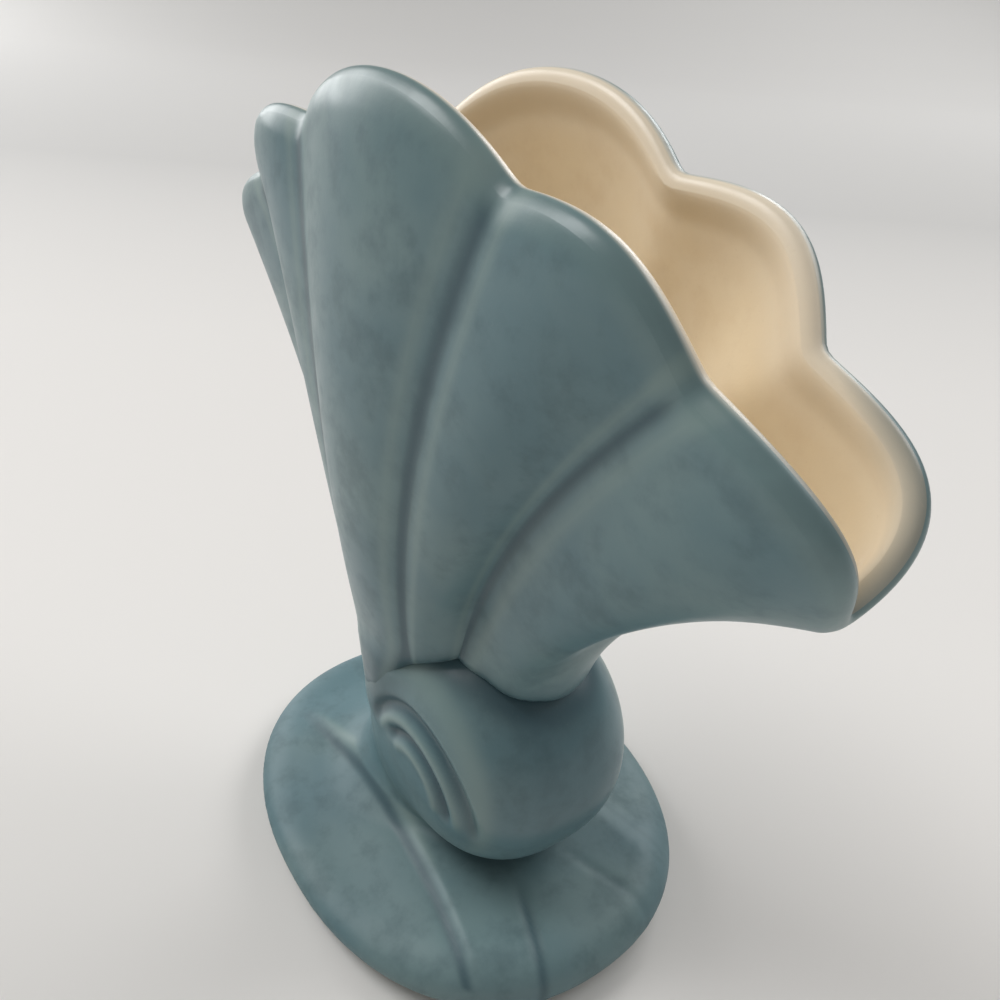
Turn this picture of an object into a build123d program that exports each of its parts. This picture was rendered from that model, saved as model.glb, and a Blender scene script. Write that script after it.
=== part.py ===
from build123d import *
from math import cos, pi, radians, sin
import os

# Fan vase of slip-cast, glazed earthenware: a fluted fan-shaped bowl that
# grows out of a carved scroll, on a rounded oblong foot.
# Millimetres, +Z up. X runs along the wide mouth, Y from face to face.
# The origin is on the table, under the middle of the fan's mouth.
# Names that end in share or shares are proportions, all others are lengths
# or angles in degrees.

# Walls and glaze
wall = 5.6
lining_thickness = 0.9
lip_crown = 2.2
lip_side_share = 0.15
lip_side_rise_share = 0.7

# Rim of the fan, one quarter of it: crests of the lobes and cusps between them
vase_height = 203.0
rim_centre_half_depth = 25.4
rim_inner_cusp_x = 37.5
rim_inner_cusp_half_depth = 21.9
rim_inner_cusp_height = 189.8
rim_side_lobe_x = 64.4
rim_side_lobe_half_depth = 22.4
rim_side_lobe_height = 186.5
rim_outer_cusp_x = 77.5
rim_outer_cusp_half_depth = 17.0
rim_outer_cusp_height = 170.8
rim_end_lobe_x = 100.0
rim_end_lobe_half_depth = 14.3
rim_end_lobe_height = 156.6
mouth_end_x = 99.8
mouth_end_height = 134.5

# Neck of the fan, just above the scroll, along the same lines
neck_height = 74.0
neck_centre_half_depth = 26.3
neck_inner_groove_x = 15.4
neck_inner_groove_half_depth = 23.3
neck_side_lobe_x = 19.5
neck_side_lobe_half_depth = 20.2
neck_outer_groove_x = 24.2
neck_outer_groove_half_depth = 13.9
neck_end_lobe_x = 38.0
neck_end_lobe_half_depth = 12.8
neck_end_x = 48.2

# How far each line swells out between the neck and the rim
centre_belly = 6.6
inner_groove_belly = 4.7
side_lobe_belly = 2.6
outer_groove_belly = -0.3
end_lobe_belly = -0.2

# How each line bends on its way up, where 1 is straight
inner_groove_bend_share = 1.85
side_lobe_bend_share = 1.3
outer_groove_bend_share = 1.82
outer_groove_rise_share = 1.07
end_lobe_bend_share = 1.2
end_lobe_rise_share = 0.9
mouth_end_bend_share = 1.42
mouth_end_rise_share = 0.46
lobe_fullness_share = 0.8
lean_lobe_fullness_share = 0.66
mouth_end_fullness_share = 0.84

# Toe of the fan, tucked in where it sits over the scroll and its stem
toe_middle_height = 62.0
toe_middle_width_share = 0.74
toe_middle_depth_share = 0.97
toe_low_height = 50.0
toe_low_width_share = 0.44
toe_low_depth_share = 0.88
toe_crease = 3.0
toe_crease_stem_height = 57.0
passage_share = 0.86

# Scroll: a rounded barrel lying along Y, with the stem running down beside it
scroll_centre_x = 22.3
scroll_centre_height = 48.5
scroll_radius = 33.7
scroll_half_depth = 28.0
scroll_roundness_share = 2.5
scroll_wall = 6.5
stem_centre_x = -1.0
stem_foot_half_width = 23.0
stem_foot_half_depth = 22.5
stem_middle_height = 36.0
stem_middle_half_width = 21.0
stem_middle_half_depth = 21.5
stem_top_height = 60.0
stem_top_half_width = 24.0
stem_top_half_depth = 18.5
stem_roundness_share = 2.4

# Carved crescents of the spiral, on both faces of the scroll
spiral_eye_x = 23.8
spiral_eye_height = 42.6
outer_crescent_radius = 20.5
outer_crescent_end_depth = 27.8
inner_crescent_radius = 13.3
inner_crescent_end_depth = 29.0
crescent_groove_radius = 2.1
crescent_chord_angle = -22.0
crescent_tilt_angle = 7.0

# Foot: a rounded oblong apron
foot_centre_x = 6.0
foot_half_length = 67.1
foot_half_width = 54.9
foot_roundness_share = 2.22
foot_widest_height = 6.8
foot_underside_inset = 4.0
foot_bulge_inset = 1.1
foot_bulge_height = 3.8
apron_shoulder_inset = 1.6
apron_shoulder_height = 9.4
apron_inset = 5.5
apron_height = 11.0

# Bridge: the raised, waisted band along the foot that carries the scroll
bridge_height = 15.5
bridge_waist_half_width = 25.0
bridge_front_half_width = 36.0
bridge_back_half_width = 32.0
bridge_back_x = -56.0
bridge_level_x = -32.0
bridge_edge_radius = 3.2
bridge_dome_side_inset = 1.4
bridge_dome_shoulder_inset = 4.6
bridge_dome_top_inset = 10.0
bridge_dome_side_share = 0.5
bridge_dome_shoulder_share = 0.85

# Flutes over the front end of the bridge
flute_radius = 2.6
flute_depth = 1.2
flute_back_inset = 34.0
flute_back_y = 7.5
flute_middle_inset = 20.0
flute_middle_y = 11.0
flute_shoulder_inset = 9.0
flute_shoulder_y = 15.5
flute_front_y = 19.5

# Dry ring the vase stands on, and the recess inside it
foot_ring_height = 1.5
foot_ring_width = 6.0
recess_height = 6.5

# Steps that the curved forms are drawn in
line_step_share = 0.01
level_shares = [0.0, 0.15, 0.32, 0.49, 0.66, 0.83, 1.0]
outline_steps = 40
barrel_steps = 6


def between(low, high, share):
    return low + (high - low) * share


def fan_line(neck, rim, belly, bend_share, rise_share, level):
    """A point of one line of the fan, whose level runs from neck 0 to rim 1."""
    x = between(neck[0], rim[0], level**bend_share)
    half_depth = between(neck[1], rim[1], level) + belly * 4 * level * (1 - level)
    height = between(neck_height, rim[2], level**rise_share)
    return Vector(x, half_depth, height)


def quarter_lines(level):
    """Crests and grooves of one quarter of the fan, from its middle outwards."""
    centre = fan_line(
        (0, neck_centre_half_depth),
        (0, rim_centre_half_depth, vase_height - lip_crown),
        centre_belly, 1, 1, level,
    )
    inner_groove = fan_line(
        (neck_inner_groove_x, neck_inner_groove_half_depth),
        (rim_inner_cusp_x, rim_inner_cusp_half_depth, rim_inner_cusp_height - lip_crown),
        inner_groove_belly, inner_groove_bend_share, 1, level,
    )
    side_lobe = fan_line(
        (neck_side_lobe_x, neck_side_lobe_half_depth),
        (rim_side_lobe_x, rim_side_lobe_half_depth, rim_side_lobe_height - lip_crown),
        side_lobe_belly, side_lobe_bend_share, 1, level,
    )
    outer_groove = fan_line(
        (neck_outer_groove_x, neck_outer_groove_half_depth),
        (rim_outer_cusp_x, rim_outer_cusp_half_depth, rim_outer_cusp_height - lip_crown),
        outer_groove_belly, outer_groove_bend_share, outer_groove_rise_share, level,
    )
    end_lobe = fan_line(
        (neck_end_lobe_x, neck_end_lobe_half_depth),
        (rim_end_lobe_x, rim_end_lobe_half_depth, rim_end_lobe_height),
        end_lobe_belly, end_lobe_bend_share, end_lobe_rise_share, level,
    )
    mouth_end = fan_line(
        (neck_end_x, 0), (mouth_end_x, 0, mouth_end_height),
        0, mouth_end_bend_share, mouth_end_rise_share, level,
    )
    return centre, inner_groove, side_lobe, outer_groove, end_lobe, mouth_end


def shoulder(near, crest, far, fullness_share=lobe_fullness_share):
    """A point of a lobe between its near edge and its crest, fuller than a chord."""
    chord_middle = (near + far) / 2
    chord_quarter = (near * 3 + far) / 4
    return chord_quarter + (crest - chord_middle) * fullness_share


def mirrored(points, x_sign, y_sign):
    return [Vector(p.X * x_sign, p.Y * y_sign, p.Z) for p in points]


def outline(level):
    """Closed ring of points round the fan, from the near left groove onwards."""
    centre, inner, side, outer, end, mouth_end = quarter_lines(level)
    inner_left = Vector(-inner.X, inner.Y, inner.Z)
    half = [
        shoulder(inner, centre, inner_left),
        inner,
        shoulder(inner, side, outer),
        side,
        shoulder(outer, side, inner, lean_lobe_fullness_share),
        outer,
        shoulder(outer, end, mouth_end, lean_lobe_fullness_share),
        end,
        shoulder(mouth_end, end, outer, mouth_end_fullness_share),
    ]
    ring = mirrored([inner, half[0], centre], -1, -1)
    ring += mirrored(half, 1, -1) + [mouth_end]
    ring += mirrored(half[::-1] + [centre] + half, 1, 1)[: len(half) + 1]
    ring += mirrored(half + [mouth_end], -1, 1)
    ring += mirrored(half[:1:-1], -1, -1)
    return ring


def inward(level, depth):
    """The ring of one level, moved into the wall by a depth."""
    ring = outline(level)
    above = outline(level + line_step_share)
    below = outline(max(level - line_step_share, 0))
    moved = []
    for i, point in enumerate(ring):
        along = ring[(i + 1) % len(ring)] - ring[i - 1]
        up = above[i] - below[i]
        moved.append(point + up.cross(along).normalized() * depth)
    return moved


def over_lip(depth, lift):
    """A ring over the rim's rounded lip, moved in by a depth and up by a lift."""
    above = outline(1 + line_step_share)
    below = outline(1 - line_step_share)
    ups = [(a - b).normalized() for a, b in zip(above, below)]
    return [point + up * lift for point, up in zip(inward(1, depth), ups)]


def level_ring(ring, width_share, depth_share, height):
    """A ring narrowed by shares and laid flat at a height."""
    return [Vector(p.X * width_share, p.Y * depth_share, height) for p in ring]


def lobed_wire(ring):
    """One curve over each lobe, or half lobe at the mouth's ends, meeting in the grooves."""
    closed = ring + ring[:1]
    return Wire([Edge.make_spline(closed[i:i + 5]) for i in range(0, len(ring), 4)])


def skin_wires(depth):
    """The curves of one skin of the fan's wall, from the toe up to the rim."""
    neck = outline(0)
    snug = 1 - depth / neck_centre_half_depth
    middle = (toe_middle_width_share * snug, toe_middle_depth_share * snug)
    rings = [
        level_ring(neck, toe_low_width_share * snug, toe_low_depth_share * snug, toe_low_height),
        level_ring(neck, middle[0], middle[1], toe_middle_height),
    ]
    rings += [inward(level, depth) for level in level_shares]
    return [lobed_wire(ring) for ring in rings]


def skin(wires):
    """One skin of the wall: the toe, and the fan above its neck."""
    return [Shell.make_loft(wires[:3]), Shell.make_loft(wires[2:])]


def sewn(shells, cap):
    faces = [face for shell in shells for face in shell.faces()]
    return Solid(Shell(faces + [cap]))


def oblong(centre_x, half_length, half_width, roundness_share, height):
    """A rounded oblong in a level plane, drawn as one smooth closed curve."""
    points = []
    for i in range(outline_steps):
        angle = 2 * pi * i / outline_steps
        c, s = cos(angle), sin(angle)
        x_share = abs(c) ** (2 / roundness_share) * (1 if c >= 0 else -1)
        y_share = abs(s) ** (2 / roundness_share) * (1 if s >= 0 else -1)
        points.append(Vector(centre_x + half_length * x_share, half_width * y_share, height))
    return Wire([Edge.make_spline(points, periodic=True)])


def foot_oblong(inset, height):
    half_length = foot_half_length - inset
    half_width = foot_half_width - inset
    return oblong(foot_centre_x, half_length, half_width, foot_roundness_share, height)


def stem(grow, foot_height, top_height):
    """The stem beside the barrel, grown or shrunk all round by one amount."""
    rings = [
        (stem_foot_half_width, stem_foot_half_depth, foot_height),
        (stem_middle_half_width, stem_middle_half_depth, stem_middle_height),
        (stem_top_half_width, stem_top_half_depth, top_height),
    ]
    return Solid.make_loft([
        oblong(stem_centre_x, half_width + grow, half_depth + grow, stem_roundness_share, height)
        for half_width, half_depth, height in rings
    ])


def barrel(grow):
    """The rounded barrel of the scroll, its ends gently domed."""
    near = []
    for i in range(barrel_steps + 1):
        angle = pi / 2 * i / barrel_steps
        out = (scroll_radius + grow) * sin(angle) ** (2 / scroll_roundness_share)
        along = (scroll_half_depth + grow) * abs(cos(angle)) ** (2 / scroll_roundness_share)
        near.append(Vector(scroll_centre_x + out, -along, scroll_centre_height))
    far = mirrored(near[::-1], 1, -1)
    profile = Wire([
        Edge.make_spline(near, tangents=[Vector(1, 0, 0), Vector(0, 1, 0)]),
        Edge.make_spline(far, tangents=[Vector(0, 1, 0), Vector(-1, 0, 0)]),
        Edge.make_line(far[-1], near[0]),
    ])
    axis = Axis((scroll_centre_x, 0, scroll_centre_height), (0, 1, 0))
    return Solid.revolve(Face(profile), 360, axis)


def crescent(side, radius, end_depth):
    """One arc of the carved spiral, tilted so that it fades out at both ends."""
    chord = Vector(cos(radians(crescent_chord_angle)), 0, sin(radians(crescent_chord_angle)))
    upright = Vector(-chord.Z, 0, chord.X)
    tilt = radians(crescent_tilt_angle)
    middle = upright * cos(tilt) - Vector(0, side, 0) * sin(tilt)
    start = Vector(spiral_eye_x, side * end_depth, spiral_eye_height)
    plane = Plane(origin=start, x_dir=chord, z_dir=chord.cross(middle))
    return Solid.make_torus(radius, crescent_groove_radius, plane, major_angle=180)


def flute(side):
    """A shallow flute that runs forward over the rounded end of the foot."""
    front_x = foot_centre_x + foot_half_length
    lift = flute_radius - flute_depth
    points = [
        Vector(front_x - flute_back_inset, side * flute_back_y, bridge_height + flute_radius),
        Vector(front_x - flute_middle_inset, side * flute_middle_y, bridge_height + lift),
        Vector(front_x - flute_shoulder_inset, side * flute_shoulder_y, bridge_height + lift / 2),
        Vector(front_x, side * flute_front_y, apron_height),
        Vector(front_x + flute_radius, side * flute_front_y, foot_bulge_height),
    ]
    path = Edge.make_spline(points)
    start = Plane(origin=path @ 0, z_dir=path % 0)
    return sweep(start * Circle(flute_radius), path=Wire([path])).solids()[0]


os.makedirs("parts", exist_ok=True)

# Scroll: barrel and stem in one, hollow, open upwards into the fan.
above_bridge = Solid.make_box(
    scroll_radius * 4, scroll_radius * 4, scroll_radius * 4,
    Plane(origin=(scroll_centre_x - scroll_radius * 2, -scroll_radius * 2, bridge_height)),
)
scroll_body = ((barrel(0) & above_bridge) + stem(0, bridge_height, stem_top_height)).solids()[0]
crease_body = barrel(toe_crease) + stem(toe_crease, bridge_height, toe_crease_stem_height)

# Fan bowl: the fluted outside, the rounded lip and the inner skin of the clay.
outer_wires = skin_wires(0)
inner_wires = skin_wires(wall)
lining_wires = skin_wires(wall + lining_thickness)
outer_skin = skin(outer_wires)
inner_skin = skin(inner_wires)
lining_skin = skin(lining_wires)
lip_skin = Shell.make_loft([
    outer_wires[-1],
    lobed_wire(over_lip(wall * lip_side_share, lip_crown * lip_side_rise_share)),
    lobed_wire(over_lip(wall / 2, lip_crown)),
    lobed_wire(over_lip(wall * (1 - lip_side_share), lip_crown * lip_side_rise_share)),
    inner_wires[-1],
])
bowl_tube = sewn(outer_skin + inner_skin + [lip_skin], Face(outer_wires[0], [inner_wires[0]]))
core_neck = inward(0, toe_crease)
core = Solid.make_loft([
    lobed_wire(level_ring(core_neck, toe_low_width_share, toe_low_depth_share, toe_low_height)),
    lobed_wire(level_ring(core_neck, toe_middle_width_share, toe_middle_depth_share, toe_middle_height)),
    lobed_wire(level_ring(core_neck, 1, 1, neck_height)),
    lobed_wire(level_ring(core_neck, 1, 1, scroll_centre_height + scroll_radius + toe_crease * 2)),
])
fan_bowl = bowl_tube - scroll_body - (crease_body - core)

# Bowl lining: the cream glaze inside the fan, from the lip down to the scroll.
lining_edge = Shell.make_loft([inner_wires[-1], lining_wires[-1]])
lining_tube = sewn(inner_skin + lining_skin + [lining_edge], Face(inner_wires[0], [lining_wires[0]]))
bowl_lining = lining_tube - scroll_body

# The scroll's hollow, its open top and the crescents carved on both faces.
passage_ring = inward(0, wall + lining_thickness)
passage = Solid.make_loft([
    lobed_wire(level_ring(passage_ring, toe_low_width_share, passage_share, scroll_centre_height)),
    lobed_wire(level_ring(passage_ring, passage_share, passage_share, neck_height)),
    lobed_wire(level_ring(passage_ring, passage_share, passage_share, vase_height / 2)),
])
hollow_stem = stem(-scroll_wall, bridge_height + scroll_wall, stem_top_height)
scroll = scroll_body - barrel(-scroll_wall) - hollow_stem - passage
for side in (-1, 1):
    scroll = scroll - crescent(side, outer_crescent_radius, outer_crescent_end_depth)
    scroll = scroll - crescent(side, inner_crescent_radius, inner_crescent_end_depth)

# Foot: the apron, with the fluted bridge raised along it and a recess below.
apron = Solid.make_loft([
    foot_oblong(foot_underside_inset, foot_ring_height),
    foot_oblong(foot_bulge_inset, foot_bulge_height),
    foot_oblong(0, foot_widest_height),
    foot_oblong(apron_shoulder_inset, apron_shoulder_height),
    foot_oblong(apron_inset, apron_height),
])
bridge_front_x = foot_centre_x + foot_half_length
right_side = [
    Vector(bridge_back_x, -bridge_back_half_width, foot_widest_height),
    Vector(foot_centre_x, -bridge_waist_half_width, foot_widest_height),
    Vector(bridge_front_x, -bridge_front_half_width, foot_widest_height),
]
left_side = mirrored(right_side[::-1], 1, -1)
bridge_plan = Wire([
    Edge.make_spline(right_side),
    Edge.make_line(right_side[-1], left_side[0]),
    Edge.make_spline(left_side),
    Edge.make_line(left_side[-1], right_side[0]),
])
band = Solid.extrude(Face(bridge_plan), Vector(0, 0, bridge_height - foot_widest_height))
long_edges = band.faces().sort_by(Axis.Z)[-1].edges().filter_by(GeomType.BSPLINE)
band = band.fillet(bridge_edge_radius, long_edges)
side_view = [
    Vector(bridge_back_x, -foot_half_width, apron_height),
    Vector(bridge_level_x, -foot_half_width, bridge_height),
    Vector(bridge_front_x, -foot_half_width, bridge_height),
    Vector(bridge_front_x, -foot_half_width, foot_widest_height),
    Vector(bridge_back_x, -foot_half_width, foot_widest_height),
]
level_run = Vector(1, 0, 0)
rise = Edge.make_spline(side_view[:2], tangents=[level_run, level_run])
straights = [Edge.make_line(side_view[i], side_view[(i + 1) % 5]) for i in (1, 2, 3, 4)]
rising = Solid.extrude(Face(Wire([rise] + straights)), Vector(0, foot_half_width * 2, 0))
dome = Solid.make_loft([
    foot_oblong(0, foot_widest_height),
    foot_oblong(bridge_dome_side_inset, between(foot_widest_height, bridge_height, bridge_dome_side_share)),
    foot_oblong(bridge_dome_shoulder_inset, between(foot_widest_height, bridge_height, bridge_dome_shoulder_share)),
    foot_oblong(bridge_dome_top_inset, bridge_height),
])
bridge = (band & rising & dome).solids()[0]
recess_plan = foot_oblong(foot_underside_inset + foot_ring_width, 0)
recess = Solid.extrude(Face(recess_plan), Vector(0, 0, recess_height))
foot = apron + bridge - recess
for side in (-1, 1):
    foot = foot - flute(side)

# Foot ring: the bare clay ring, wiped free of glaze, that the vase stands on.
ring_plan = Face(foot_oblong(foot_underside_inset, 0), [recess_plan])
foot_ring = Solid.extrude(ring_plan, Vector(0, 0, foot_ring_height))

nodes = {
    "fan_bowl": fan_bowl,
    "bowl_lining": bowl_lining,
    "scroll": scroll,
    "foot": foot,
    "foot_ring": foot_ring,
}
for name, shape in nodes.items():
    solids = shape.solids()
    print(name, "solids", len(solids), "valid", shape.is_valid, "volume", round(shape.volume))
    export_step(solids[0], "parts/" + name + ".step")
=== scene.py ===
import math

import bmesh
import bpy
import numpy as np
from mathutils import Matrix, Vector
from mathutils.bvhtree import BVHTree


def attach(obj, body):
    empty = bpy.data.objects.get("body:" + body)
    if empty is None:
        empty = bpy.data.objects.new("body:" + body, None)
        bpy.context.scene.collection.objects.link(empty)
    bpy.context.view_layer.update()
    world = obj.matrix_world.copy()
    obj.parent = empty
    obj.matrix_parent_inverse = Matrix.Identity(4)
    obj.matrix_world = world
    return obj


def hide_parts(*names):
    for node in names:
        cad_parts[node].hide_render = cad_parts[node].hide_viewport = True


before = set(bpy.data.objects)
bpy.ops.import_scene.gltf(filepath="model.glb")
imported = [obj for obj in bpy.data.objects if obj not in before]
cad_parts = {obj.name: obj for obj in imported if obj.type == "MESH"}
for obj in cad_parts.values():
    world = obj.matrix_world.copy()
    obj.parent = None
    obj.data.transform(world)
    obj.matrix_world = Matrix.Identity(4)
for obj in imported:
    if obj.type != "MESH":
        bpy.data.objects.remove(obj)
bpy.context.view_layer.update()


# Foot ring: the narrow ring of bare clay that the vase stands on. It is part of
# the casting, wiped free of glaze before firing, so it is pale, dry and gritty.
def new_material(name):
    material = bpy.data.materials.new(name)
    material.use_nodes = True
    nodes = material.node_tree.nodes
    return material, nodes, material.node_tree.links, nodes["Principled BSDF"]


def noise(nodes, links, scale, detail, roughness):
    place = nodes.new("ShaderNodeTexCoord")
    texture = nodes.new("ShaderNodeTexNoise")
    texture.inputs["Scale"].default_value = scale
    texture.inputs["Detail"].default_value = detail
    texture.inputs["Roughness"].default_value = roughness
    links.new(place.outputs["Object"], texture.inputs["Vector"])
    return texture.outputs["Fac"]


def ramp(nodes, links, value, stops):
    node = nodes.new("ShaderNodeValToRGB")
    for element, (place, colour) in zip(node.color_ramp.elements, stops):
        element.position = place
        element.color = (*colour, 1)
    links.new(value, node.inputs["Fac"])
    return node.outputs["Color"]


def bumped(nodes, links, shader, height, strength, distance):
    bump = nodes.new("ShaderNodeBump")
    bump.inputs["Strength"].default_value = strength
    bump.inputs["Distance"].default_value = distance
    links.new(height, bump.inputs["Height"])
    links.new(bump.outputs["Normal"], shader.inputs["Normal"])


dark_clay, light_clay = (0.50, 0.41, 0.31), (0.70, 0.61, 0.49)
bare_clay, nodes, links, shader = new_material("bare_clay")
grit = noise(nodes, links, scale=900, detail=6, roughness=0.7)
colour = ramp(nodes, links, grit, [(0.3, dark_clay), (0.7, light_clay)])
links.new(colour, shader.inputs["Base Color"])
shader.inputs["Roughness"].default_value = 0.85
bumped(nodes, links, shader, grit, strength=0.5, distance=0.0004)
foot_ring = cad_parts["foot_ring"]
for place in foot_ring.material_slots:
    place.material = bare_clay


# Outer glaze: one dusty blue satin glaze over the foot, the scroll and the
# outside of the bowl, thinner and lighter towards the rim, softly clouded, and
# duller on the foot. Painted highlight lightens it over crests and edges, and
# painted shade darkens it in grooves, corners and where parts meet.
def make_glaze_pattern_and_painted_light():
    """The pattern both glazes share, painted highlight and shade included, as a colour, a
    roughness and a height.
    """
    group = bpy.data.node_groups.new("glaze_pattern_and_painted_light", "ShaderNodeTree")
    for name in ("Glaze", "Thin Glaze And Highlight", "Pooled Glaze And Shade", "Edge Glaze And Highlight", "Fleck Colour"):
        group.interface.new_socket(name, in_out="INPUT", socket_type="NodeSocketColor")
    for name, kind in (("Colour", "Color"), ("Roughness", "Float"), ("Height", "Float")):
        group.interface.new_socket(name, in_out="OUTPUT", socket_type="NodeSocket" + kind)
    nodes, links = group.nodes, group.links
    into, out = nodes.new("NodeGroupInput"), nodes.new("NodeGroupOutput")

    def blend(mask, low, high):
        mix = nodes.new("ShaderNodeMix")
        mix.data_type = "RGBA"
        links.new(mask, mix.inputs["Factor"])
        links.new(low, mix.inputs["A"])
        links.new(into.outputs[high], mix.inputs["B"])
        return mix.outputs["Result"]

    def span(value, low, high, to_low=0.0, to_high=1.0):
        node = nodes.new("ShaderNodeMapRange")
        node.interpolation_type = "SMOOTHSTEP"
        limits = {"From Min": low, "From Max": high, "To Min": to_low, "To Max": to_high}
        for socket, limit in limits.items():
            node.inputs[socket].default_value = limit
        links.new(value, node.inputs["Value"])
        return node.outputs["Result"]

    def attribute(name):
        node = nodes.new("ShaderNodeAttribute")
        node.attribute_name = name
        return node.outputs["Fac"]

    clouds = noise(nodes, links, scale=28, detail=3, roughness=0.5)
    patches = noise(nodes, links, scale=110, detail=4, roughness=0.6)
    flecks = noise(nodes, links, scale=1500, detail=3, roughness=0.6)
    colour = blend(span(clouds, 0.35, 0.68, to_high=0.5), into.outputs["Glaze"], "Thin Glaze And Highlight")
    colour = blend(span(patches, 0.42, 0.75, to_high=0.4), colour, "Pooled Glaze And Shade")
    # Painted shade: the pooled colour, laid on where the shade mask says.
    colour = blend(span(attribute("painted_shade"), 0, 1, to_high=0.9), colour, "Pooled Glaze And Shade")
    # Painted highlight, and thinner glaze near the bowl's rim: the thin colour.
    colour = blend(span(attribute("highlight_and_thin_glaze"), 0, 1, to_high=0.9), colour, "Thin Glaze And Highlight")
    # The edge colour: glaze along the lining's edge, and partly painted highlight on the bowl's
    # lip.
    colour = blend(attribute("at_edge"), colour, "Edge Glaze And Highlight")
    colour = blend(span(flecks, 0.62, 0.72, to_high=0.12), colour, "Fleck Colour")
    links.new(colour, out.inputs["Colour"])
    matt_roughness = 0.2
    duller = nodes.new("ShaderNodeMath")
    duller.operation = "MULTIPLY_ADD"
    links.new(attribute("matt"), duller.inputs[0])
    duller.inputs[1].default_value = matt_roughness
    links.new(span(patches, 0.3, 0.7, to_low=0.29, to_high=0.38), duller.inputs[2])
    links.new(duller.outputs[0], out.inputs["Roughness"])
    links.new(flecks, out.inputs["Height"])
    return group


glaze_pattern_and_painted_light = make_glaze_pattern_and_painted_light()


def make_glaze(name, colours):
    material, nodes, links, shader = new_material(name)
    coat = nodes.new("ShaderNodeGroup")
    coat.node_tree = glaze_pattern_and_painted_light
    for socket, colour in colours.items():
        coat.inputs[socket].default_value = (*colour, 1)
    links.new(coat.outputs["Colour"], shader.inputs["Base Color"])
    links.new(coat.outputs["Roughness"], shader.inputs["Roughness"])
    bumped(nodes, links, shader, coat.outputs["Height"], strength=0.08, distance=0.0002)
    return material


# The thin colour also serves as painted highlight, the pooled one as painted shade, and the pale
# edge colour partly as painted highlight on the lip's crown.
outer_glaze = make_glaze("outer_glaze", {
    "Glaze": (0.103, 0.188, 0.212),
    "Thin Glaze And Highlight": (0.205, 0.292, 0.284),
    "Pooled Glaze And Shade": (0.038, 0.084, 0.104),
    "Edge Glaze And Highlight": (0.72, 0.68, 0.58),
    "Fleck Colour": (0.18, 0.25, 0.25),
})


# Foot: a rounded oblong apron, with the waisted bridge raised along it. It is
# cast in one with the scroll, and its edges are soft under the glaze. Lengths
# here and below are in millimetres.
mm = 0.001


def mesh_object(name, points, faces, material):
    mesh = bpy.data.meshes.new(name)
    mesh.from_pydata([tuple(p) for p in points.reshape(-1, 3) * mm], [], faces)
    mesh.update()
    piece = bpy.data.objects.new(name, mesh)
    bpy.context.scene.collection.objects.link(piece)
    mesh.materials.append(material)
    mesh.shade_smooth()
    return piece


def ring_faces(rows, columns):
    """Faces between rows of points that each run round in a ring."""
    faces = []
    for row in range(rows - 1):
        low, high = row * columns, (row + 1) * columns
        for c in range(columns):
            d = (c + 1) % columns
            faces.append((low + c, low + d, high + d, high + c))
    return faces


def step(low, high, value):
    """0 up to low, 1 from high on, and a smooth rise between them."""
    share = np.clip((value - low) / (high - low), 0, 1)
    return share * share * (3 - 2 * share)


def hump(value, middle, width):
    """1 at the middle, with a smooth fall on both sides."""
    return np.exp(-(((value - middle) / width) ** 2))


def outline_share(a, b, power):
    """0 in the middle of a rounded outline, 1 on it, from shares of its two radii."""
    return (np.abs(a) ** power + np.abs(b) ** power) ** (1 / power)


def oblong(centre_x, half_length, half_width, power, height):
    angle = np.arange(oblong_points) * 2 * math.pi / oblong_points
    c, s = np.cos(angle), np.sin(angle)
    x = centre_x + half_length * np.sign(c) * np.abs(c) ** (2 / power)
    y = half_width * np.sign(s) * np.abs(s) ** (2 / power)
    return np.stack([x, y, np.full(oblong_points, float(height))], axis=1)


oblong_points = 160
foot_centre_x, foot_half_length, foot_half_width, foot_power = 6.0, 67.1, 54.9, 2.22
apron_height, bridge_height, edge_height = 11.0, 15.5, 6.8
apron_rise, apron_rise_across, apron_rise_x = 2.6, (-24.0, 0.0), (-52.0, -25.0)
bridge_waist, bridge_front_flare, bridge_back_flare = 25.0, 11.0, 8.4
bridge_start_x, bridge_edge_reach = (-46.0, -20.0), 2.6
crease_depth, crease_place, crease_width, crease_start_x = 0.4, -0.2, 1.6, (26.0, 44.0)
far_softening, far_y, far_x = 3.4, (0.0, 20.0), (0.0, 30.0)
roll_start, roll_share, roll_power = 0.84, 0.16, 2.2


def bridge_edge(x):
    """Half the bridge's width along the foot."""
    along = (x - foot_centre_x) / foot_half_length
    flare = np.where(along > 0, bridge_front_flare, bridge_back_flare)
    return bridge_waist + flare * along**2


def foot_top(x, y):
    """Height of the foot's upper side. The far side's edge is softer."""
    across = bridge_edge(x) - np.abs(y)
    reach = bridge_edge_reach + far_softening * step(*far_y, y) * step(*far_x, x)
    apron = apron_height + apron_rise * step(*apron_rise_across, across) * step(*apron_rise_x, x)
    bridge = step(-reach, reach, across) * step(*bridge_start_x, x)
    crease = hump(across, crease_place, crease_width) * step(*crease_start_x, x)
    crease *= 1 - 0.8 * step(*far_y, y)
    top = apron + (bridge_height - apron) * bridge - crease_depth * crease
    share = outline_share((x - foot_centre_x) / foot_half_length, y / foot_half_width, foot_power)
    roll = np.clip((share - roll_start) / roll_share, 0, 1)
    return top - (top - edge_height) * (1 - np.sqrt(np.clip(1 - roll**roll_power, 0, 1)))


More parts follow.
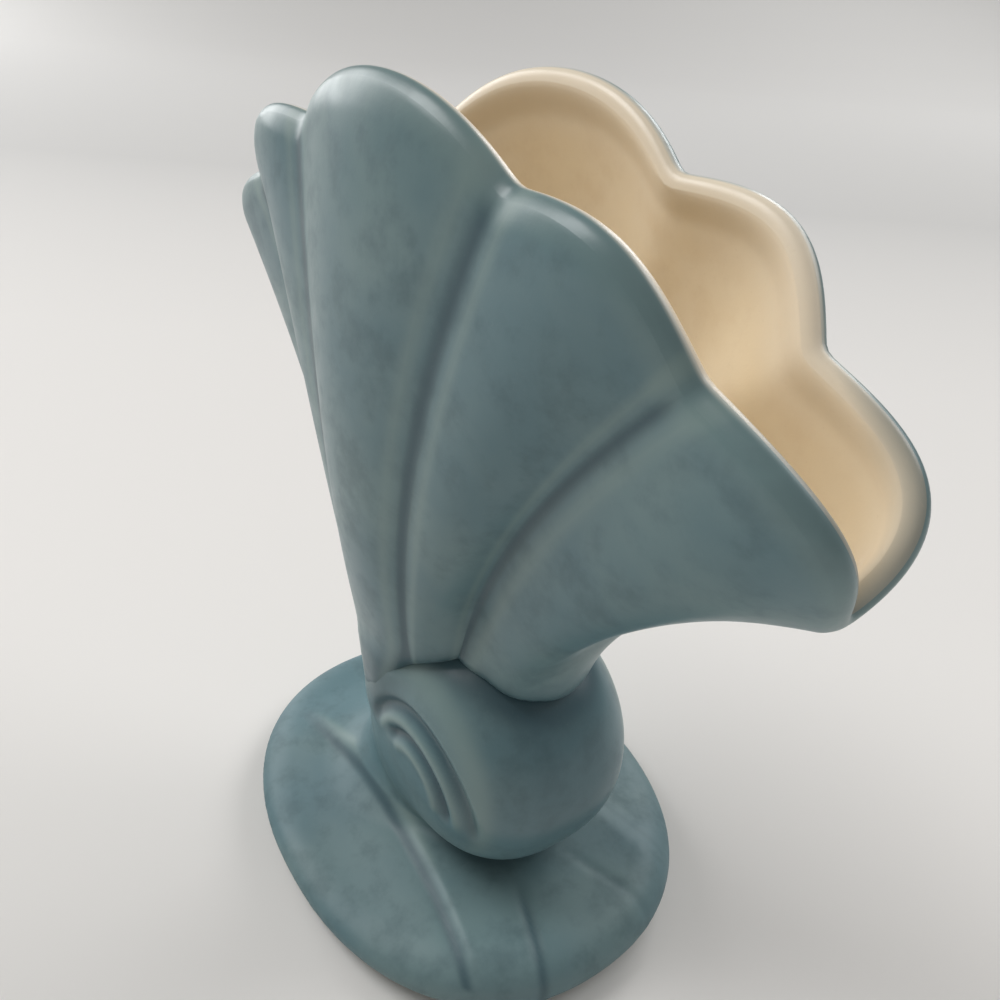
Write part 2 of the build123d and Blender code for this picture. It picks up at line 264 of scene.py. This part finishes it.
# Each row under the foot: how far in from the outline it lies, and its height.
underside_rows = ((14, 6.0), (9, 2.2), (4.4, 1.5), (2.4, 1.9), (1.1, 3.6), (0.2, 5.6))
foot_rings = []
for inset, height in underside_rows:
    length, width = foot_half_length - inset, foot_half_width - inset
    foot_rings.append(oblong(foot_centre_x, length, width, foot_power, height))
rolled_shares = 1 - np.linspace(0, 1, 14)[:-1] ** 2 * roll_share
for share in np.concatenate([rolled_shares, np.linspace(roll_start, 0.03, 44)]):
    length, width = foot_half_length * share, foot_half_width * share
    ring = oblong(foot_centre_x, length, width, foot_power, 0)
    ring[:, 2] = foot_top(ring[:, 0], ring[:, 1])
    foot_rings.append(ring)


# Scroll: a rounded barrel that lies across the foot, with the stem running down
# beside it into the foot. Both faces carry crescents carved in the mould, and
# scroll and foot are shown as one casting, softened where they meet.
def closed_mesh(rings, name):
    rings = np.array(rings)
    rows, columns = rings.shape[:2]
    ends = [[rings[0].mean(axis=0)], [rings[-1].mean(axis=0)]]
    faces = ring_faces(rows, columns)
    first, last, last_row = rows * columns, rows * columns + 1, (rows - 1) * columns
    for c in range(columns):
        d = (c + 1) % columns
        faces.append((first, d, c))
        faces.append((last, last_row + c, last_row + d))
    return mesh_object(name, np.concatenate([rings.reshape(-1, 3), *ends]), faces, outer_glaze)


barrel_x, barrel_z, barrel_radius, barrel_half_depth, barrel_power = 22.3, 48.5, 33.7, 28.0, 2.5
barrel_points, barrel_end_angle = 120, 0.495 * math.pi
barrel_rings = []
for angle in np.linspace(-barrel_end_angle, barrel_end_angle, 61):
    across = np.abs(np.cos(angle)) ** (2 / barrel_power) * barrel_radius
    along = np.sign(angle) * np.abs(np.sin(angle)) ** (2 / barrel_power) * barrel_half_depth
    turn = np.arange(barrel_points) * 2 * math.pi / barrel_points
    x, z = barrel_x + across * np.cos(turn), barrel_z + across * np.sin(turn)
    barrel_rings.append(np.stack([x, np.full(barrel_points, along), z], axis=1))

# Each row of the stem: its height, and half its length and width there.
stem_rows = (
    (8.0, 27.5, 26.5), (12.5, 26.5, 26.0), (15.5, 24.6, 24.2), (19.0, 23.2, 22.9),
    (25.0, 22.1, 22.1), (36.0, 21.0, 21.5), (48.0, 21.9, 20.4), (60.0, 24.0, 18.5),
)
stem_centre_x, stem_top, stem_power = -1.0, 60.0, 2.4
stem_rings = [oblong(stem_centre_x, a, b, stem_power, height) for height, a, b in stem_rows]


def rounded_together(forms, name, voxel, passes):
    """One skin round several closed forms, softened where they meet."""
    joined = bmesh.new()
    for form in forms:
        joined.from_mesh(form.data)
        bpy.data.objects.remove(form)
    mesh = bpy.data.meshes.new(name)
    joined.to_mesh(mesh)
    joined.free()
    piece = bpy.data.objects.new(name, mesh)
    bpy.context.scene.collection.objects.link(piece)
    remesh = piece.modifiers.new("one_skin", "REMESH")
    remesh.mode = "VOXEL"
    remesh.voxel_size = voxel
    soften = piece.modifiers.new("soften", "SMOOTH")
    soften.factor = 0.5
    soften.iterations = passes
    shaped = piece.evaluated_get(bpy.context.evaluated_depsgraph_get())
    skin = bpy.data.meshes.new_from_object(shaped)
    piece.modifiers.clear()
    piece.data = skin
    skin.materials.clear()
    skin.materials.append(outer_glaze)
    skin.shade_smooth()
    return piece


def points_of(mesh):
    flat = np.empty(len(mesh.vertices) * 3)
    mesh.vertices.foreach_get("co", flat)
    return flat.reshape(-1, 3) / mm


def set_points(mesh, points):
    mesh.vertices.foreach_set("co", (points * mm).ravel())
    mesh.update()


def set_mask(mesh, name, values):
    mask = mesh.attributes.new(name, "FLOAT", "POINT")
    mask.data.foreach_set("value", np.clip(values, 0, 1).astype(np.float32).ravel())


def inside_out(share, reach):
    """Distance from a rounded form, less than 0 inside it, from its outline share."""
    return (1 - 1 / np.maximum(share, 0.05)) * reach


def barrel_distance(x, y, z):
    reach = np.hypot(x - barrel_x, z - barrel_z)
    share = outline_share(reach / barrel_radius, y / barrel_half_depth, barrel_power)
    return inside_out(share, np.hypot(reach, y))


def stem_distance(x, y, z):
    heights, lengths, widths = np.array(stem_rows).T
    length, width = np.interp(z, heights, lengths), np.interp(z, heights, widths)
    share = outline_share((x - stem_centre_x) / length, y / width, stem_power)
    return np.maximum(inside_out(share, np.hypot(x - stem_centre_x, y)), z - stem_top)


def blended(a, b, reach):
    """The lesser of two distances, rounded over where they are nearly the same."""
    share = np.clip(0.5 + 0.5 * (b - a) / reach, 0, 1)
    return b + (a - b) * share - reach * share * (1 - share)


scroll_blend, foot_blend, stem_foot_blend = 14.0, 3.0, 9.0


def scroll_distance(x, y, z):
    return blended(barrel_distance(x, y, z), stem_distance(x, y, z), scroll_blend)


def casting_distance(x, y, z):
    """Distance from scroll and foot, which flow together beside the stem."""
    reach = foot_blend + stem_foot_blend * (1 - step(-8.0, 22.0, x))
    return blended(scroll_distance(x, y, z), z - foot_top(x, y), reach)


def with_slope(distance, points):
    """A distance at each point, and how fast it grows along x, y and z there."""
    nudge = 0.05
    value = distance(*points.T)
    growth = [distance(*(points + shift).T) - value for shift in np.eye(3) * nudge]
    return value, np.stack(growth, axis=1) / nudge


forms = [
    closed_mesh(foot_rings, "foot_form"),
    closed_mesh(barrel_rings, "barrel_form"),
    closed_mesh(stem_rings, "stem_form"),
]
scroll_on_foot = rounded_together(forms, "scroll_on_foot", voxel=0.9 * mm, passes=8)
points = points_of(scroll_on_foot.data)
underside_height, free_height = 9.0, 12.0
moving = points[:, 2] > underside_height
for _ in range(5):
    near = points[moving]
    value, slope = with_slope(casting_distance, near)
    move = slope * (value / np.maximum((slope**2).sum(axis=1), 0.2))[:, None]
    points[moving] -= move * step(underside_height, free_height, near[:, 2])[:, None]
x, y, z = points.T

# The crescents on both faces: soft grooves that fade out at their ends, each
# with a low crest inside, the grooves darkened by painted shade and the crests
# lightened by painted highlight. Each is given by its radius round the scroll's
# eye, its first and last angle in degrees, and its width.
eye_x, eye_z = 23.8, 42.6
crescents = ((20.5, -16, 168, 1.7), (13.3, -14, 152, 1.6))
crescent_depth, crest_inset, crest_width, crest_height = 1.5, 3.4, 1.5, 0.35
fade_in, fade_out = 22, 20
scroll_painted_shade = np.zeros(len(points))
scroll_painted_highlight = np.zeros(len(points))
carved = np.zeros(len(points))
turn = np.degrees(np.arctan2(z - eye_z, x - eye_x))
turn = np.where(turn < -100, turn + 360, turn)
from_eye = np.hypot(x - eye_x, z - eye_z)
for radius, first, last, width in crescents:
    ends = step(first, first + fade_in, turn) * (1 - step(last - fade_out, last, turn))
    groove = hump(from_eye, radius, width) * ends
    crest = hump(from_eye, radius - crest_inset, crest_width) * ends
    carved += crescent_depth * groove - crest_height * crest
    scroll_painted_shade += groove
    scroll_painted_highlight += 0.8 * crest
on_face = step(14, 22, np.abs(y)) * step(17.0, 21.0, z)
y = y - np.sign(y) * carved * on_face
scroll_painted_shade *= on_face
scroll_painted_highlight *= on_face


# Shallow flutes run forward over the front end of the bridge, one on each side,
# darkened by painted shade. The far one is fainter.
def nearness(x, y, line, width):
    """How near each point is to a line drawn in plan, 1 on it."""
    nearest = np.full(len(x), 1e9)
    for (x0, y0), (x1, y1) in zip(line[:-1], line[1:]):
        run, rise = x1 - x0, y1 - y0
        share = np.clip(((x - x0) * run + (y - y0) * rise) / (run**2 + rise**2), 0, 1)
        nearest = np.minimum(nearest, np.hypot(x - x0 - share * run, y - y0 - share * rise))
    return hump(nearest, 0, width)


flute_line = ((40.0, 7.0), (55.4, 11.6), (69.2, 16.7), (74.0, 18.5), (78.0, 19.5))
flute_width, flute_depth, flute_start_x = 1.6, 0.8, (42, 56)
far_side = step(0.0, 12.0, y)
below_scroll = 1 - step(bridge_height + 1.5, bridge_height + 3, z)
flute = nearness(x, np.abs(y), flute_line, flute_width) * step(*flute_start_x, x) * below_scroll
z = z - flute_depth * flute * (1 - 0.65 * far_side)
scroll_painted_shade += 0.7 * flute * (1 - 0.7 * far_side)

# The edge of the bridge: painted highlight on its crest on the near side, and painted shade along
# its foot.
across = bridge_edge(x) - np.abs(y)
on_foot = (1 - step(17.5, 19, z)) * step(9, 11, z) * step(*bridge_start_x, x)
crest_highlight = hump(across, 2.2, 1.8) * (1 - step(20, 40, x)) * (1 - far_side)
scroll_painted_highlight += 0.8 * crest_highlight * on_foot
scroll_painted_shade += 0.8 * hump(across, -0.8, 1.6) * on_foot * (1 - 0.7 * far_side)

# Painted highlight round the barrel's rounded edges, painted shade over the middle of its round
# side, and a painted shadow where it meets the foot.
from_barrel = barrel_distance(x, y, z)
on_barrel = (1 - step(2.0, 5.0, from_barrel)) * step(19, 26, z)
scroll_painted_highlight += 0.75 * hump(np.abs(y), 22.5, 3.0) * step(17, 24, from_eye) * on_barrel
scroll_painted_shade += 0.35 * (1 - step(8, 18, np.abs(y))) * on_barrel
under_barrel = (1 - step(16.5, 19, z)) * step(10, 26, x)
scroll_painted_shade += 0.9 * hump(np.maximum(from_barrel, 0), 0, 5.0) * under_barrel
set_points(scroll_on_foot.data, np.stack([x, y, z], axis=1))
set_mask(scroll_on_foot.data, "highlight_and_thin_glaze", scroll_painted_highlight)
set_mask(scroll_on_foot.data, "matt", 1 - step(17, 26, z))
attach(scroll_on_foot, "root")
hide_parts("scroll", "foot")


# Fan bowl: the fluted wall, cast in a two-part mould, five lobes to a side. Its
# lobes meet in soft grooves that run down from the rim's cusps to the scroll.
neck_height = 74.0

# Each line up the wall: its x and y at the neck, its point on the rim, how far it
# bellies out, and the powers by which it bends outwards and rises.
fan_lines = (
    ((0, 26.3), (0, 25.4, 200.8), 6.6, 1, 1),  # crest of the centre lobe
    ((15.4, 23.3), (37.5, 21.9, 187.6), 4.7, 1.85, 1),  # groove beside it
    ((19.5, 20.2), (64.4, 22.4, 184.3), 2.6, 1.3, 1),  # crest of the side lobe
    ((24.2, 13.9), (77.5, 17.0, 168.6), -0.3, 1.82, 1.07),  # groove beside it
    ((38.0, 12.8), (101.2, 14.5, 156.6), -0.2, 1.2, 0.9),  # crest of the end lobe
    ((48.2, 0), (101.2, 0, 133.5), 0, 1.42, 0.46),  # the mouth's end
)

# How full a shoulder is: on most lobes, on a side that leans, and at the ends.
full, lean, end_full = 0.8, 0.66, 0.84


def fan_corners(level):
    """The ring of crests, grooves and shoulders round the fan at each level."""
    centre, inner, side, outer, end, mouth_end = (
        np.stack([
            neck[0] + (rim[0] - neck[0]) * level**bend,
            neck[1] + (rim[1] - neck[1]) * level + belly * 4 * level * (1 - level),
            neck_height + (rim[2] - neck_height) * level**rise,
        ], axis=1)
        for neck, rim, belly, bend, rise in fan_lines
    )

    def shoulder(near, crest, far, fullness):
        return (near * 3 + far) / 4 + (crest - (near + far) / 2) * fullness

    half = [
        shoulder(inner, centre, inner * (-1, 1, 1), full), inner,
        shoulder(inner, side, outer, full), side, shoulder(outer, side, inner, lean), outer,
        shoulder(outer, end, mouth_end, lean), end, shoulder(mouth_end, end, outer, end_full),
    ]
    ring = [p * (-1, -1, 1) for p in (inner, half[0], centre)]
    ring += [p * (1, -1, 1) for p in half] + [mouth_end]
    ring += half[::-1] + [centre] + [p * (-1, 1, 1) for p in half]
    ring += [mouth_end * (-1, 1, 1)] + [p * (-1, -1, 1) for p in half[:1:-1]]
    return np.stack(ring, axis=1)


# Shares of the neck's width and depth, by height, where the fan tucks in.
toe_widths = ((50, 0.44), (56, 0.60), (62, 0.74), (68, 0.875), (74, 1))
toe_depths = ((50, 0.88), (62, 0.97), (74, 1))


def toe_corners(height):
    """The same ring, narrowed where the fan tucks in over the scroll."""
    width, depth = (np.interp(height, *np.transpose(t)) for t in (toe_widths, toe_depths))
    ring = fan_corners(np.zeros(len(height)))
    ring = ring * np.stack([width, depth, np.zeros(len(height))], axis=1)[:, None]
    ring[..., 2] = height[:, None]
    return ring


def moved_in(level, depth):
    """The ring moved into the wall, and the way up along the wall."""
    ring = fan_corners(level)
    along = np.roll(ring, -1, axis=1) - np.roll(ring, 1, axis=1)
    up = fan_corners(level + 0.01) - fan_corners(np.maximum(level - 0.01, 0))
    up /= np.linalg.norm(up, axis=2, keepdims=True)
    inward = np.cross(up, along)
    inward /= np.linalg.norm(inward, axis=2, keepdims=True)
    return ring + inward * np.asarray(depth)[:, None, None], up


lobe_steps, lobe_knots = 40, 5
columns = 10 * lobe_steps
half_turn, first_end = columns // 2, 3 * lobe_steps
from_end = (np.arange(columns) - first_end + half_turn // 2) % half_turn - half_turn // 2
end_sigma, end_reach = 2.8, 11


def lobed(corners, sigma):
    """Fills the ring in with an even curve over each lobe, grooves softened.

    The mouth's two ends are softened more than the rest.
    """
    t = np.arange(lobe_steps) / lobe_steps
    knots = np.arange(lobe_knots) / (lobe_knots - 1)
    weights = [
        np.prod([(t - other) / (knot - other) for other in knots if other != knot], axis=0)
        for knot in knots
    ]
    closed = np.concatenate([corners, corners[:, :1]], axis=1)
    starts = range(0, corners.shape[1], lobe_knots - 1)
    lobes = [np.einsum("kt,rkc->rtc", weights, closed[:, i:i + lobe_knots]) for i in starts]
    waves = np.fft.fft(np.concatenate(lobes, axis=1), axis=1)
    frequency = np.fft.fftfreq(columns)

    def softened(by):
        fade = np.exp(-2 * (math.pi * np.asarray(by)[..., None] * frequency) ** 2)
        return np.fft.ifft(waves * fade[..., None], axis=1).real

    crisp = softened(sigma)
    return crisp + (softened([end_sigma]) - crisp) * hump(from_end, 0, end_reach)[None, :, None]


def eased(rows, first, last, passes):
    """Softens the rows between two places, along the wall."""
    for _ in range(passes):
        beside = rows[first - 1:last - 1] + rows[first + 1:last + 1]
        rows[first:last] = rows[first:last] / 2 + beside / 4
    return rows


toe_heights = np.linspace(50, neck_height, 25)[:-1]
levels = np.linspace(0, 1, 120)
neck_sigma, rim_sigma = 2.2, 0.9
wall_sigma = neck_sigma - (neck_sigma - rim_sigma) * levels
skin_sigma = np.concatenate([np.full(len(toe_heights), neck_sigma), wall_sigma])
rim_lean, lean_start = 1.0, 0.955
leaning = rim_lean * np.clip((levels - lean_start) / (1 - lean_start), 0, 1) ** 2
wall_corners = moved_in(levels, leaning)[0]
outside = lobed(np.concatenate([toe_corners(toe_heights), wall_corners]), skin_sigma)
outside = eased(outside, first=12, last=44, passes=30)

# Over the barrel the wall tucks in; beside the stem it flows into the scroll. The
# outer groove is filled a little where it comes down on the barrel.
tuck_radius, flow_reach, flow_x = 4.0, 9.0, (2.0, 16.0)
fill_depth, fill_x, fill_width, fill_heights = 3.0, 26.0, 6.5, (74.0, 98.0)
along = np.roll(outside, -1, axis=1) - np.roll(outside, 1, axis=1)
inward = np.cross(np.gradient(outside, axis=0), along)
inward /= np.linalg.norm(inward, axis=2, keepdims=True)
filled = hump(outside[..., 0], fill_x, fill_width) * (1 - step(*fill_heights, outside[..., 2]))
outside = outside - inward * (fill_depth * filled)[..., None]
over_scroll = scroll_distance(*np.moveaxis(outside, -1, 0))
flowing = 1 - step(*flow_x, outside[..., 0])
tucked = np.clip(1 - over_scroll / tuck_radius, 0, 1) * (1 - flowing)
tuck = tuck_radius * (1 - np.sqrt(1 - tucked**2))
swell = flow_reach / 4 * np.clip(1 - np.abs(over_scroll) / flow_reach, 0, 1) ** 2 * flowing
plain_rows = 60
plain_faces = ring_faces(plain_rows, columns)
plain_wall = mesh_object("plain_wall", outside[:plain_rows], plain_faces, outer_glaze)
outside = outside + inward * (tuck - swell)[..., None]

# The scroll's top swells by the same amount to meet the wall, and a painted
# shadow darkens it where they meet.
finder = BVHTree.FromPolygons([v.co for v in plain_wall.data.vertices], plain_faces)
bpy.data.objects.remove(plain_wall)
points = points_of(scroll_on_foot.data)
slope = with_slope(scroll_distance, points)[1]
swelling_height, shadow_reach = 46, 5.0
for i in np.nonzero(points[:, 2] > swelling_height)[0]:
    gap = finder.find_nearest(Vector(points[i] * mm))[3] / mm
    share = max(1 - gap / flow_reach, 0) ** 2 * (1 - step(*flow_x, points[i, 0]))
    points[i] += slope[i] * flow_reach / 4 * share
    scroll_painted_shade[i] += 0.7 * hump(gap, 0, shadow_reach)
set_points(scroll_on_foot.data, points)
set_mask(scroll_on_foot.data, "painted_shade", scroll_painted_shade)

# The lip: rounded over, with the blue glaze ending on its crown.
wall, lip_crown, blue_rows = 6.5, 2.2, 13
over = np.linspace(0, 1, 25)
lip_corners = []
for share in over:
    swing = math.cos(math.pi * share)
    depth = rim_lean + (wall - rim_lean) * (1 - swing) / 2
    ring, up = moved_in(np.ones(1), [depth])
    roundness = 2 if share < 0.5 else 3
    lip_corners.append(ring + up * lip_crown * (1 - abs(swing) ** roundness))
lip = lobed(np.concatenate(lip_corners), np.full(len(over), rim_sigma))
blue = np.concatenate([outside, lip[1:blue_rows + 1]])
fan_wall = mesh_object("fan_wall", blue, ring_faces(len(blue), columns), outer_glaze)

# Painted shade darkens the grooves and a painted shadow the wall over the scroll;
# painted highlight lightens each lobe beside its grooves, and the glaze thins
# towards the rim.
gaps = np.linalg.norm(np.roll(blue, -1, axis=1) - blue, axis=2)
round_to = np.arange(columns) % lobe_steps
from_groove = np.minimum(round_to, lobe_steps - round_to) * gaps.mean(axis=1)[:, None]
far_away = 1e3
from_groove[:, np.abs(from_end) < lobe_steps // 2] = far_away
row_level = np.concatenate([np.zeros(len(toe_heights)), levels, np.ones(blue_rows)])[:, None]
over_scroll = np.concatenate([over_scroll, np.full((blue_rows, columns), far_away)])
painted_shade = hump(from_groove, 0, 1.6) * (1 - 0.6 * step(0.97, 1.0, row_level))
painted_shade += 0.8 * hump(np.maximum(over_scroll, 0), 0, 5.5)
highlight_and_thin_glaze = 0.55 * hump(from_groove, 4.2, 1.9) + 0.5 * step(0.94, 1.0, row_level)
# A pale edge colour on the lip's crown: partly cream glaze, partly painted highlight.
row_over = np.concatenate([np.zeros(len(outside)), over[1:blue_rows + 1] / over[blue_rows]])
off_the_ends = 1 - step(70, 96, np.abs(blue[-1, :, 0]))
at_edge = step(0.75, 1.0, row_over)[:, None] * off_the_ends[None, :]
set_mask(fan_wall.data, "painted_shade", painted_shade)
set_mask(fan_wall.data, "highlight_and_thin_glaze", highlight_and_thin_glaze)
set_mask(fan_wall.data, "at_edge", at_edge)
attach(fan_wall, "root")
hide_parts("fan_bowl")


# Bowl lining: the cream glaze poured inside, which runs up to the lip's crown.
# Below the lip the wall is a little hollowed, lobe by lobe.
# The thin colour also serves as painted light on the pale lip and band, and the pooled one as the
# painted shadow below them.
inner_glaze = make_glaze("inner_glaze", {
    "Glaze": (0.88, 0.745, 0.525),
    "Thin Glaze And Highlight": (0.89, 0.79, 0.63),
    "Pooled Glaze And Shade": (0.74, 0.585, 0.385),
    "Edge Glaze And Highlight": (0.30, 0.31, 0.27),
    "Fleck Colour": (0.66, 0.53, 0.37),
})
down = np.linspace(1, 0, 110)[1:]
hollow_depth, toe_radius = 1.8, 24.8
inside_corners = moved_in(down, wall - hollow_depth * step(0, 0.06, 1 - down))[0]
toe_share = 1 - wall / toe_radius
toe_inside = toe_corners(toe_heights[::-1]) * (toe_share, toe_share, 1)
inside_sigma = np.linspace(1.6, 3.0, len(down) + len(toe_heights))
inside = lobed(np.concatenate([inside_corners, toe_inside]), inside_sigma)
inside = eased(inside, first=95, last=122, passes=20)
cream = np.concatenate([lip[blue_rows:], inside])
cream_faces = ring_faces(len(cream), columns)
bowl_lining_glaze = mesh_object("bowl_lining_glaze", cream, cream_faces, inner_glaze)

# The lip and a band below it are pale, partly lighter glaze and partly painted
# light where the wall faces up, with a painted shadow under the band; a grey-green
# band runs along the edge, which is wide only at the mouth's two ends.
lip_rows, pale_rows, shadow_first, shadow_rows = len(lip) - blue_rows, 12, 3, 11
highlight_and_thin_glaze = np.zeros(cream.shape[:2])
highlight_and_thin_glaze[:lip_rows] = 0.9
highlight_and_thin_glaze[lip_rows:lip_rows + pale_rows] = np.linspace(0.9, 0.0, pale_rows)[:, None]
painted_shade = np.zeros(cream.shape[:2])
shadow_row = lip_rows + shadow_first
shadow = np.sin(np.linspace(0, math.pi, shadow_rows)) * 0.25
painted_shade[shadow_row:shadow_row + shadow_rows] = shadow[:, None]
towards_end = step(76, 98, np.abs(cream[0, :, 0]))[None, :]
edge_rows = 1 + 14 * towards_end
at_edge = np.clip(1 - np.arange(len(cream))[:, None] / edge_rows, 0, 1)
at_edge *= 0.25 + 0.75 * towards_end
set_mask(bowl_lining_glaze.data, "painted_shade", painted_shade)
set_mask(bowl_lining_glaze.data, "highlight_and_thin_glaze", highlight_and_thin_glaze)
set_mask(bowl_lining_glaze.data, "at_edge", at_edge)
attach(bowl_lining_glaze, "root")
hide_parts("bowl_lining")


# Table: a plain pale sheet that runs up behind the vase, not part of it. Its
# colour darkens away from the vase, where the lamps light it more strongly.
# Lengths from here on are in metres.
near_colour, far_colour = (0.80, 0.78, 0.755), (0.49, 0.485, 0.475)
sheet_paper, nodes, links, shader = new_material("pale_sheet")
away = nodes.new("ShaderNodeAttribute")
away.attribute_name = "away"
colour = ramp(nodes, links, away.outputs["Fac"], [(0.0, near_colour), (1.0, far_colour)])
links.new(colour, shader.inputs["Base Color"])
shader.inputs["Roughness"].default_value = 0.9
back = Vector((-0.77, 0.64, 0))
side = Vector((back.y, -back.x, 0))
bend_start, bend_radius, sheet_height, sheet_half_width = 2.2, 1.4, 7.2, 8.5
sweep_line = [(run, 0) for run in (-5.0, 0.0, 0.35, 0.9, bend_start)]
for angle in np.linspace(0, math.pi / 2, 12)[1:]:
    run = bend_start + bend_radius * math.sin(angle)
    sweep_line.append((run, bend_radius - bend_radius * math.cos(angle)))
sweep_line.append((bend_start + bend_radius, sheet_height))
vertices = [
    tuple(back * run + side * across + Vector((0, 0, rise)))
    for run, rise in sweep_line
    for across in (-sheet_half_width, sheet_half_width)
]
faces = [(2 * i, 2 * i + 1, 2 * i + 3, 2 * i + 2) for i in range(len(sweep_line) - 1)]
sheet = bpy.data.meshes.new("pale_sheet")
sheet.from_pydata(vertices, [], faces)
sheet.shade_smooth()
sheet.materials.append(sheet_paper)
row_away = np.interp([run for run, _ in sweep_line], (0, 0.35, 0.9), (0, 0.3, 1))
set_mask(sheet, "away", np.repeat(row_away, 2))
pale_sheet = bpy.data.objects.new("pale_sheet", sheet)
bpy.context.scene.collection.objects.link(pale_sheet)


# Lamps: broad soft lamps from the left and from behind, and an even pale room
# all round.
lamp_target = Vector((0, 0, 0.1))


def soft_lamp(name, place, size, watts):
    data = bpy.data.lights.new(name, "AREA")
    data.shape = "RECTANGLE"
    data.size = data.size_y = size
    data.energy = watts
    lamp = bpy.data.objects.new(name, data)
    bpy.context.scene.collection.objects.link(lamp)
    lamp.location = place
    lamp.rotation_euler = (lamp_target - Vector(place)).to_track_quat("-Z", "Y").to_euler()


soft_lamp("left_lamp", (-1.8, -1.3, 2.65), size=1.7, watts=55)
soft_lamp("back_left_lamp", (-1.05, 2.7, 1.75), size=1.4, watts=33)
soft_lamp("low_left_lamp", (-3.1, -0.5, 1.1), size=1.7, watts=37)
soft_lamp("back_lamp", (0.7, 2.9, 2.5), size=1.7, watts=34)
world = bpy.data.worlds.new("room")
world.use_nodes = True
room = world.node_tree.nodes["Background"]
room.inputs["Color"].default_value = (1, 0.985, 0.97, 1)
room.inputs["Strength"].default_value = 0.30
bpy.context.scene.world = world
bpy.context.scene.view_settings.view_transform = "Standard"


# Camera: close and above, looking down into the mouth from its right end, and
# tilted a little.
azimuth, elevation, roll = math.radians(53.08), math.radians(31.20), math.radians(4.18)
distance, target = 0.19868, Vector((0.01651, -0.00072, 0.11432))
outward = Vector((
    math.sin(azimuth) * math.cos(elevation),
    -math.cos(azimuth) * math.cos(elevation),
    math.sin(elevation),
))
right = (-outward).cross(Vector((0, 0, 1))).normalized()
up = right.cross(-outward)
across_view = right * math.cos(roll) + up * math.sin(roll)
up_view = up * math.cos(roll) - right * math.sin(roll)
turned = Matrix((across_view, up_view, outward)).transposed().to_4x4()
camera_data = bpy.data.cameras.new("camera")
camera_data.sensor_width = 36
camera_data.lens = 31.02
camera_data.clip_start = 0.01
camera = bpy.data.objects.new("camera", camera_data)
bpy.context.scene.collection.objects.link(camera)
camera.matrix_world = Matrix.Translation(target + outward * distance) @ turned
bpy.context.scene.camera = camera
